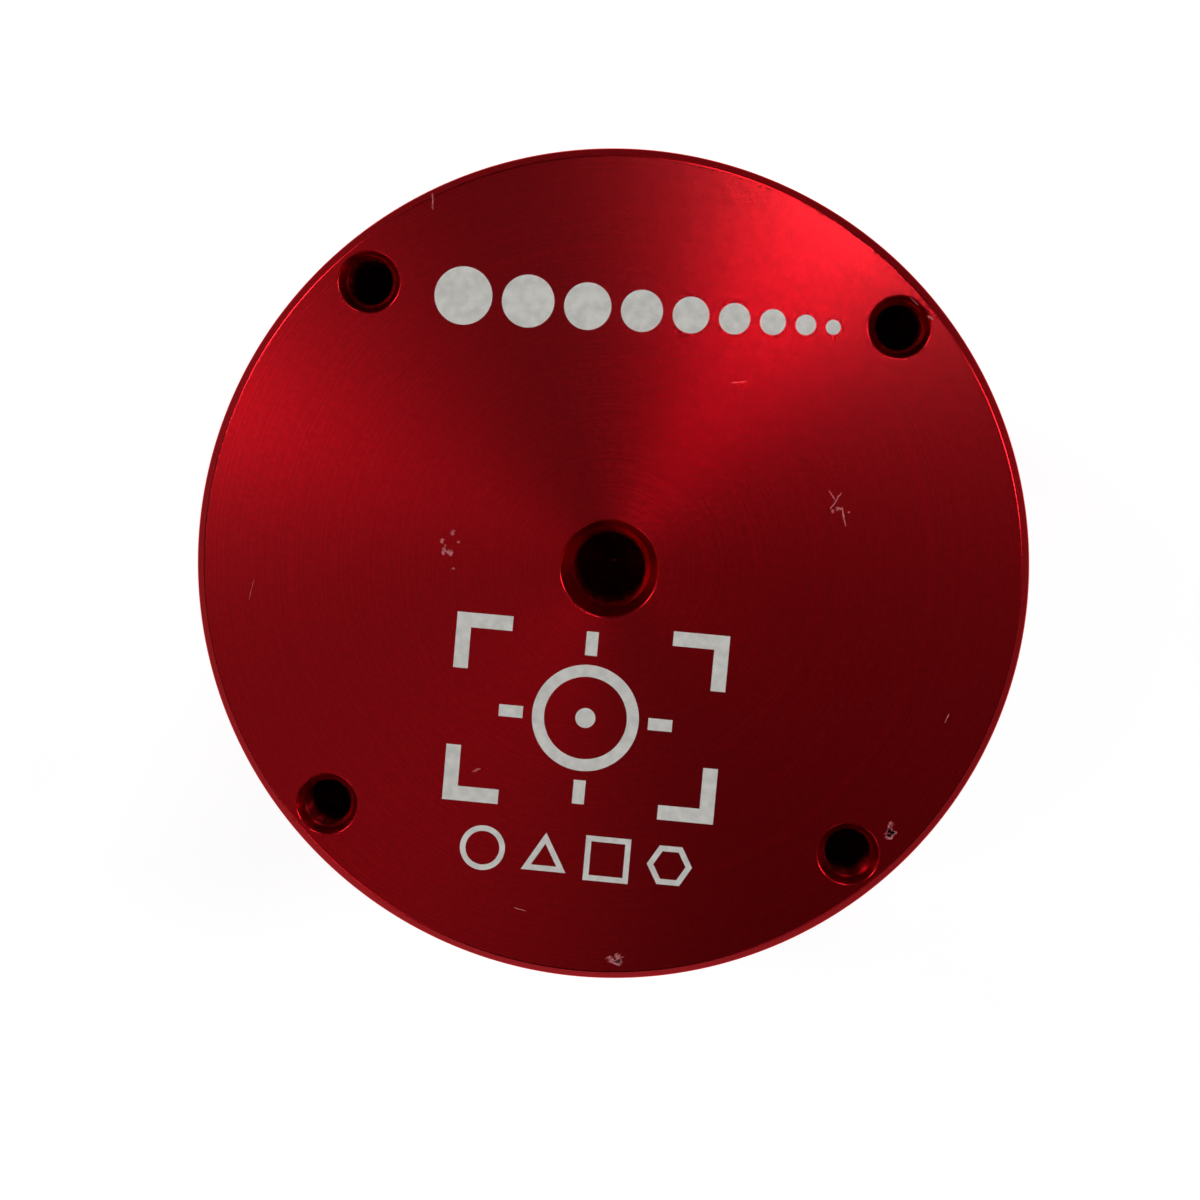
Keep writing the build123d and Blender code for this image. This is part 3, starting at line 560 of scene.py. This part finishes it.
def front_housing():
    """Turned front half, from its flat front out over the rim to the seam, down the cavity to the plate
    that carries the window, and out through the neck with its tapped lens mount."""
    skin = Skin()
    outside = rounded(
        (BODY_R - 0.9, PUCK_FRONT_Z),
        (BODY_R - RIM_CHAMFER, PUCK_FRONT_Z, EDGE_R),
        (BODY_R, PUCK_FRONT_Z + RIM_CHAMFER, EDGE_R),
        (BODY_R, SPLIT_Z - SEAM_CHAMFER, 0.05),
        (BODY_R - SEAM_CHAMFER, SPLIT_Z, 0.05),
        (BODY_R - 0.5, SPLIT_Z),
    )
    relief_z = PLATE_FRONT_Z - 1.5          # top and bottom of the thread's run-out groove
    thread_z = relief_z - 0.8
    inside = np.array([
        (CAVITY_R, SPLIT_Z), (CAVITY_R, PLATE_REAR_Z),
        (APERTURE_R, PLATE_REAR_Z), (APERTURE_R, SEAT_Z + 0.15), (APERTURE_R + 0.15, SEAT_Z),
        (WINDOW_RECESS_R, SEAT_Z), (WINDOW_RECESS_R, PLATE_FRONT_Z + 0.1),
        (WINDOW_RECESS_R + 0.1, PLATE_FRONT_Z)
    ])
    neck = np.concatenate([
        [(NECK_BORE_R, PLATE_FRONT_Z), (NECK_BORE_R, relief_z), (RELIEF_R, relief_z), (RELIEF_R, thread_z)],
        run(LENS_CREST_R, thread_z, NECK_Z + 0.4, LENS_PITCH / 9),
        rounded(
            (LENS_CREST_R, NECK_Z + 0.4), (LENS_CREST_R + 0.4, NECK_Z, 0.05), (NECK_R - 0.4, NECK_Z, 0.12),
            (NECK_R, NECK_Z + 0.4, 0.12), (NECK_R, PUCK_FRONT_Z, 0.15), (NECK_R + 0.6, PUCK_FRONT_Z)
        )[1:],
    ])

    def tapped(r, z, a):
        inside_neck = (np.abs(r - LENS_CREST_R) < 1e-6) & (z < thread_z + 1e-6)
        fade = np.clip((thread_z - z) / LENS_PITCH, 0, 1)
        return np.where(inside_neck, (LENS_ROOT_R - LENS_CREST_R) * thread(z, a, LENS_PITCH) * fade, 0)

    def bossed(r, z, a):
        return np.where(np.abs(r - CAVITY_R) < 1e-6, cavity_radius(a) - r, 0)

    outer, faces = revolved(outside, 360, closed=False)
    skin.add(outer, faces)
    cavity, faces = revolved(inside, 360, bossed, closed=False)
    skin.add(cavity, faces)
    mount, faces = revolved(neck, 360, tapped, closed=False)
    skin.add(mount, faces)
    skin.add(np.stack([cavity[-1], mount[0]]), grid(2, 360, wrap=True))
    fit = dict(wide_r=HOUSING_SCREW["head_r"] + 0.1, hole_r=HOUSING_SCREW["shank_r"] + 0.1, sink=1.2)
    holes = [through_hole(skin, x, y, PUCK_FRONT_Z, SPLIT_Z, **fit) for x, y in BOSSES_AT]
    skin.add(*filled(outer[0], mount[-1], *[low for low, high in holes]))
    skin.add(*filled(outer[-1], cavity[0], *[high for low, high in holes]))
    return skin.piece("front_housing_turned", [RED], "camera_body", "red_anodised_body", ["front_housing"])


rear_housing()
front_housing()


# ======================================================================================================
# Window and its retainer
# ======================================================================================================
def window():
    """Optical window, a disc with small ground bevels."""
    r, low, high, bevel = glass_high[0], glass_low[2], glass_high[2], 0.15
    path = np.array([
        (0, low), (r - bevel, low), (r, low + bevel), (r, high - bevel), (r - bevel, high), (0, high)
    ])
    skin = Skin()
    skin.add(*revolved(path, 180, closed=False))
    return skin.piece("window_ground", [GLASS], "camera_body", "window_glass", ["window_glass"], sharp=30)


def retainer():
    """Flat turned ring with four countersunk holes and a chamfered opening."""
    r, low, high, opening = retainer_high[0], retainer_low[2], retainer_high[2], 9.4
    outside = rounded((r - 0.3, low), (r, low, 0.12), (r, high, 0.06), (r - 0.3, high))
    inside = np.array([
        (opening + 0.5, low), (opening + 0.42, low), (opening, low + 0.42), (opening, high - 0.03),
        (opening + 0.03, high), (opening + 0.2, high)
    ])
    skin = Skin()
    outer, faces = revolved(outside, 240, closed=False)
    skin.add(outer, faces)
    inner, faces = revolved(inside, 240, closed=False)
    skin.add(inner, faces)
    fit = dict(wide_r=RETAINER_SCREW["head_r"] + 0.1, hole_r=RETAINER_SCREW["shank_r"] + 0.1, sink=0.9)
    holes = [through_hole(skin, x, y, low, high, **fit) for x, y in RETAINER_SCREWS_AT]
    skin.add(*filled(outer[0], inner[0], *[bottom for bottom, top in holes]))
    skin.add(*filled(outer[-1], inner[-1], *[top for bottom, top in holes]))
    return skin.piece(
        "window_retainer_turned", [BLACK_ANODISED], "camera_body", "black_anodised", ["window_retainer"]
    )


window()
retainer()
hex_screws("housing_screws_hex", "housing_screws", STEEL, "stainless_steel", BOSSES_AT, PUCK_FRONT_Z,
           **HOUSING_SCREW)
hex_screws("window_retainer_screws_hex", "window_retainer_screws", STEEL, "stainless_steel",
           RETAINER_SCREWS_AT, retainer_low[2], **RETAINER_SCREW)


# ======================================================================================================
# Nosepiece
# ======================================================================================================
def nosepiece():
    """Barrel, knurled shoulder and threaded spigot. The knurl is a row of V grooves, and the baffle
    rings inside the barrel are a saw tooth along the axis; both only take metal away."""
    tip = nose_low[2]
    top = nose_high[2]
    filter_z = tip + 4.5
    baffles = np.arange(filter_z + 0.9, SHOULDER_Z + 0.9, BAFFLE_PITCH)[::-1]
    bore = np.stack([
        np.column_stack([np.full_like(baffles, BORE_R), baffles]),
        np.column_stack([np.full_like(baffles, BORE_R + BAFFLE_DEPTH), baffles - 0.05]),
    ], 1).reshape(-1, 2)
    outside = rounded(
        (FILTER_CREST_R + 0.35, tip),
        (BARREL_R - 0.4, tip, 0.15),
        (BARREL_R, tip + 0.4, 0.15),
        (BARREL_R, UNDERCUT_Z[0], 0.08),
        (UNDERCUT_R, UNDERCUT_Z[1], 0.1),
        (UNDERCUT_R, UNDERCUT_Z[2], 0.1),
        (BARREL_R, UNDERCUT_Z[3], 0.08),
        (BARREL_R, SHOULDER_Z, 0.2),
        (SHOULDER_R - 0.4, SHOULDER_Z, 0.12),
        (SHOULDER_R, SHOULDER_Z + 0.4, 0.1),
        (SHOULDER_R, SHOULDER_Z + 0.62),
        (SHOULDER_R, SHOULDER_Z + 0.8),
        (SHOULDER_R, NECK_Z - 0.8),
        (SHOULDER_R, NECK_Z - 0.62),
        (SHOULDER_R, NECK_Z - 0.4, 0.1),
        (SHOULDER_R - 0.4, NECK_Z, 0.1),
        (SPIGOT_CREST_R - 0.6, NECK_Z),
        (SPIGOT_CREST_R - 0.6, NECK_Z + 0.7),
        (SPIGOT_CREST_R, NECK_Z + 1.0),
    )
    path = np.concatenate([
        outside,
        run(SPIGOT_CREST_R, NECK_Z + 1.02, top - 0.52, LENS_PITCH / 8),
        [(SPIGOT_CREST_R, top - 0.5), (SPIGOT_CREST_R - 0.5, top), (SPIGOT_BORE_R + 0.05, top),
         (SPIGOT_BORE_R, top - 0.05), (SPIGOT_BORE_R, SHOULDER_Z + 2.6),
         (BORE_R + 1.2, SHOULDER_Z + 2.6), (BORE_R, SHOULDER_Z + 1.4)],
        bore,
        [(BORE_R, filter_z + 0.3), (FILTER_CREST_R, filter_z)],
        run(FILTER_CREST_R, filter_z - 0.02, tip + 0.32, FILTER_PITCH / 8),
        [(FILTER_CREST_R, tip + 0.3), (FILTER_CREST_R + 0.27, tip + 0.03), (FILTER_CREST_R + 0.3, tip)],
    ])

    def cut(r, z, a):
        spigot = (np.abs(r - SPIGOT_CREST_R) < 1e-6) & (z > NECK_Z + 1.01) & (z < top - 0.51)
        fade = np.clip((z - NECK_Z - 1.0) / 0.5, 0, 1) * np.clip((top - 0.5 - z) / 0.4, 0, 1)
        male = np.where(spigot, (SPIGOT_ROOT_R - SPIGOT_CREST_R) * thread(z, a, LENS_PITCH) * fade, 0)
        tapped = (np.abs(r - FILTER_CREST_R) < 1e-6) & (z < filter_z - 0.01) & (z > tip + 0.31)
        fade = np.clip((filter_z - z) / 0.5, 0, 1)
        female = np.where(tapped, (FILTER_ROOT_R - FILTER_CREST_R) * thread(z, a, FILTER_PITCH) * fade, 0)
        rolled = (r > SHOULDER_R - 0.01) & (z > SHOULDER_Z + 0.7) & (z < NECK_Z - 0.7)
        tooth = np.abs(2 * np.mod(KNURL_TEETH * a / (2 * pi), 1) - 1)
        return male + female - np.where(rolled, KNURL_DEPTH * tooth, 0)

    skin = Skin()
    skin.add(*revolved(path, 4 * KNURL_TEETH, cut))
    return skin.piece("nosepiece_turned", [BLACK_ANODISED], "nosepiece_body", "black_anodised", ["nosepiece"])


nosepiece()


# ======================================================================================================
# Dust cap
# ======================================================================================================
def dust_cap():
    """Moulded cup. Outside, the wall gives way to grip flutes, each the near side of a circle of radius
    b whose centre stands at d = R + offset: r = d cos f - sqrt(b^2 - d^2 sin^2 f)."""
    r, lip = cap_high[0], cap_high[2]
    inner = BARREL_R + 0.08
    path = np.concatenate([
        [(0, CAP_DIMPLE), (0.9, CAP_DIMPLE), (1.15, 0.12), (1.3, 0.0)],
        rounded((1.4, 0), (r - 0.45, 0, 0.35), (r, 0.45, 0.35), (r, 1.7)),
        [(r, 2.0), (r, 2.04), (r, 2.2)],
        rounded((r, 2.4), (r, lip - 0.3, 0.12), (r - 0.3, lip, 0.12), (inner + 0.25, lip, 0.12),
                (inner, lip - 0.25, 0.1), (inner, 2.2)),
        rounded((inner, 2.1), (inner, CAP_FLOOR_T, 0.5), (14.0, CAP_FLOOR_T)),
        [(0, CAP_FLOOR_T)],
    ])

    def fluted(r_here, z, a):
        d = r + FLUTE_OFFSET
        f = np.mod(a + pi / CAP_FLUTES, 2 * pi / CAP_FLUTES) - pi / CAP_FLUTES
        side = FLUTE_R**2 - (d * np.sin(f)) ** 2
        flute = d * np.cos(f) - np.sqrt(np.maximum(side, 0))
        open_here = (side > 0) & (z > 2.02) & (r_here > inner + 0.4)
        return np.where(open_here, np.minimum(flute - r_here, 0), 0)

    skin = Skin()
    skin.add(*revolved(path, 14 * CAP_FLUTES, fluted, closed=False))
    return skin.piece("dust_cap_moulded", [CAP_PLASTIC], "cap_body", "black_plastic", ["dust_cap"])


dust_cap()


# ======================================================================================================
# Sockets
# ======================================================================================================
softened("usb_shell", 0.09, NICKEL, "camera_body")
softened("usb_insulator", 0.12, BLUE_PLASTIC, "camera_body")
softened("guide_socket_body", 0.15, SOCKET_PLASTIC, "camera_body")

# ======================================================================================================
# Laser marks on the rear face: plain geometric signs
# ======================================================================================================
MARK_T = 0.004                              # how far a mark stands above the face
MARK_FOOT = 0.02                            # and how far it reaches into it


def prism(skin, *loops, low, high):
    """Closed flat piece: the first (x, y) loop less the others, between two heights."""
    flats = [np.column_stack([loop, np.zeros(len(loop))]) for loop in loops]
    points, faces = filled(*flats)
    for z in (low, high):
        skin.add(points + (0, 0, z), faces)
    for flat in flats:
        skin.add(np.stack([flat + (0, 0, low), flat + (0, 0, high)]), grid(2, len(flat), wrap=True))


def bar(x_0, y_0, x_1, y_1):
    """Corners of an upright rectangle, anticlockwise."""
    return np.array([(x_0, y_0), (x_1, y_0), (x_1, y_1), (x_0, y_1)], float)


def marks():
    """Dots, brackets, cross-hair and outlines, a laser's bleached skin on the dyed oxide."""
    skin = Skin()
    span = dict(low=REAR_Z - MARK_FOOT, high=REAR_Z + MARK_T)
    # Row of dots that shrink evenly, like a star chart's brightness scale.
    x, y, space = -14.7, 19.2, 0.72
    for step in range(9):
        radius = 2.15 - 0.2 * step
        x += radius
        prism(skin, polygon(48, radius, x, y), **span)
        x += radius + space
    # Sensor's outline as four corner brackets round a cross-hair.
    cx, cy, w, h, line, arm = -0.8, -11.3, 10.2, 7.1, 1.1, 4.2
    corner = np.array([
        (w, h), (w - arm, h), (w - arm, h - line), (w - line, h - line), (w - line, h - arm), (w, h - arm)
    ])
    for sx in (-1, 1):
        for sy in (-1, 1):
            prism(skin, corner * (sx, sy) + (cx, cy), **span)
    prism(skin, polygon(96, 4.0, cx, cy), polygon(96, 3.1, cx, cy), **span)
    prism(skin, polygon(32, 0.75, cx, cy), **span)
    for turn in range(4):
        c, s = round(cos(turn * pi / 2)), round(sin(turn * pi / 2))
        tick = bar(4.7, -0.45, 6.5, 0.45) @ np.array([(c, s), (-s, c)]) + (cx, cy)
        prism(skin, tick, **span)
    # Row of plain outlines, a circle, triangle, square and hexagon; a line `line` wide at the sides is
    # line / cos(180 / sides) wide at the corners.
    line, middle, space = 0.42, -0.6, 4.7
    for k, (sides, turn, radius, y) in enumerate((
        (64, 0, 1.7, -21.8), (3, 90, 1.95, -22.15), (4, 45, 1.7 / cos(pi / 4), -21.8), (6, 0, 1.7, -21.8)
    )):
        x = middle + (k - 1.5) * space
        hole = radius - line / cos(pi / sides)
        prism(skin, polygon(sides, radius, x, y, turn), polygon(sides, hole, x, y, turn), **span)
    return skin.piece("laser_marks", [LASER_MARK], "camera_body", "red_anodised_body", sharp=30)


marks()


# ======================================================================================================
# Wear on the rear face
# ======================================================================================================
def scratch(skin, rng, x, y, turn, length, width):
    """Lens-shaped nick: half width = width / 2 times sqrt(1 - t^2), roughened, t from -1 to 1 along it."""
    t = np.linspace(-1, 1, 13)
    half = width / 2 * np.sqrt(np.maximum(1 - t * t, 0.01)) * rng.uniform(0.55, 1.25, 13)
    sway = 0.25 * width * rng.standard_normal(13)
    near, far = (np.column_stack([t * length / 2, sway + side]) for side in (half, -half))
    edge = np.concatenate([near, far[::-1]])[::-1]
    c, s = cos(radians(turn)), sin(radians(turn))
    prism(skin, edge @ np.array([(c, s), (-s, c)]) + (x, y), low=REAR_Z - MARK_FOOT, high=REAR_Z + MARK_T)


def scuffs():
    """Nicks from handling: a few single scratches, and small groups where something struck."""
    rng = np.random.default_rng(4)
    skin = Skin()
    for x, y, turn, length, width in (
        (-15.4, 25.9, 96, 1.3, 0.10), (16.2, 6.5, 62, 1.5, 0.10), (15.9, 6.9, 128, 0.9, 0.08),
        (16.9, 5.4, 104, 1.5, 0.12), (-8.6, -16.0, 20, 0.7, 0.14), (21.8, 20.5, 152, 0.5, 0.14),
        (20.5, 21.6, 140, 0.9, 0.06), (-26.6, -4.0, 80, 1.6, 0.05), (8.3, 14.6, 12, 1.2, 0.05),
        (-4.4, -26.2, 170, 1.0, 0.06), (25.9, -8.8, 70, 0.8, 0.06),
    ):
        scratch(skin, rng, x, y, turn, length, width)
    for x, y, spread, count, size in (
        (-12.0, 0.2, 0.55, 8, 0.30), (22.6, -17.5, 0.32, 7, 0.42), (3.1, -29.6, 0.38, 6, 0.36),
        (16.6, 6.0, 0.5, 5, 0.2),
    ):
        for dx, dy, turn, scale in zip(*spread * rng.standard_normal((2, count)),
                                       rng.uniform(0, 180, count), rng.uniform(0.4, 1.2, count)):
            if np.hypot(x + dx, y + dy) < BODY_R - 0.9:     # stays on the flat face
                scratch(skin, rng, x + dx, y + dy, turn, size * scale * 1.6, size * scale)
    return skin.piece("handling_scuffs", [BARE_SCUFF], "camera_body", "red_anodised_body", sharp=30)


scuffs()


# ======================================================================================================
# CAD pieces that keep their shape
# ======================================================================================================
KEPT = {
    STEEL: ["sensor_board_screws", "main_board_screws"],
    GOLD: ["usb_contacts", "guide_socket_contacts"],
    SOCKET_PLASTIC: ["board_link_socket", "board_link_plug"],
    GLASS: ["sensor_cover_glass"],
    RUBBER: ["window_gasket"],
    FOAM: ["light_seal"],
    PACKAGE: ["sensor_package"],
    SILICON: ["sensor_die"],
    BOARD: ["main_board", "sensor_board"],
    EPOXY: ["logic_chip", "usb_controller_chip", "frame_memory_chip", "flash_chip", "power_inductors",
            "regulator_chips"],
    PAD: ["thermal_pad"],
    CERAMIC: ["ceramic_capacitors"],
    CAN: ["clock_crystal"],
}
for material, names in KEPT.items():
    for name in names:
        for slot in frame["nodes"][name].material_slots:
            slot.material = material


# ======================================================================================================
# Floor, light and camera
# ======================================================================================================
def floor():
    """Flat sheet that the object stands on, 6 m square."""
    half = 3.0
    mesh = bpy.data.meshes.new("floor")
    corners = [(-half, -half, 0), (half, -half, 0), (half, half, 0), (-half, half, 0)]
    mesh.from_pydata(corners, [], [(0, 1, 2, 3)])
    made = bpy.data.objects.new("floor", mesh)
    bpy.context.scene.collection.objects.link(made)
    mesh.materials.append(FLOOR)


def softbox(name, azimuth, tilt, distance, size, power):
    """Round area light that faces the rear face: azimuth is its compass side and tilt its angle off
    the optical axis, both in degrees; distance and size are in metres, power in watts."""
    light = bpy.data.lights.new(name, "AREA")
    light.shape, light.size, light.energy = "DISK", size, power
    made = bpy.data.objects.new(name, light)
    a, t = radians(azimuth), radians(tilt)
    away = Vector((sin(t) * cos(a), sin(t) * sin(a), cos(t)))
    made.location = Vector((0, 0, REAR_Z * MM)) + away * distance
    made.rotation_euler = away.to_track_quat("Z", "Y").to_euler()
    bpy.context.scene.collection.objects.link(made)


def lights():
    """Two small lamps draw the rear face's two wedges of highlight and two broad panels fill between
    them. Five softboxes at 45 degrees light the marks and catch the rim's inner edge; the rim's chamfer
    mirrors the dim studio below them, so it stays dark."""
    softbox("key", 59.7, 10, 1.0, 0.03, 0.283)
    softbox("side", 176.3, 18.2, 1.0, 0.02, 0.1385)
    softbox("right_panel", -7, 25, 1.0, 0.67, 0.08)
    softbox("left_panel", -153.8, 25.7, 1.0, 0.84, 0.30)
    for azimuth, power in ((18, 4.1), (76, 2.2), (154, 4.1), (235, 0.9), (300, 0.35)):
        softbox("edge_light", azimuth, 45, 1.3, 0.35, power)


def surroundings():
    """Dim studio round the table: grey at the height of the table, darker towards the ceiling."""
    world = bpy.data.worlds.new("studio")
    bpy.context.scene.world = world
    world.use_nodes = True
    tree = world.node_tree
    direction = add(tree, "TexCoord").outputs["Generated"]
    height = add(tree, "SeparateXYZ", {0: direction}).outputs["Z"]
    shade = ramp(tree, height, (0.0, "#949494"), (0.16, "#343434"), (0.5, "#141414"), (1.0, "#0C0C0C"))
    tree.links.new(shade, tree.nodes["Background"].inputs["Color"])


def camera():
    """Camera over the rear face, a little off its axis and rolled."""
    data = bpy.data.cameras.new("camera")
    data.lens, data.sensor_width = 75.0, 36.0
    data.shift_x, data.shift_y = 0.039, -0.018
    data.clip_start = 0.01
    made = bpy.data.objects.new("camera", data)
    ahead = Vector((-0.050, -0.079, -0.996)).normalized()
    roll = radians(4.98)
    right = ahead.cross(Vector((-sin(roll), cos(roll), 0))).normalized()
    up = right.cross(ahead)
    spot = Vector((5.2, 13.6, REAR_Z + 185.3)) * MM
    made.matrix_world = Matrix.Translation(spot) @ Matrix((right, up, -ahead)).transposed().to_4x4()
    bpy.context.scene.collection.objects.link(made)
    bpy.context.scene.camera = made


floor()
lights()
surroundings()
camera()
bpy.context.scene.view_settings.view_transform = "Standard"
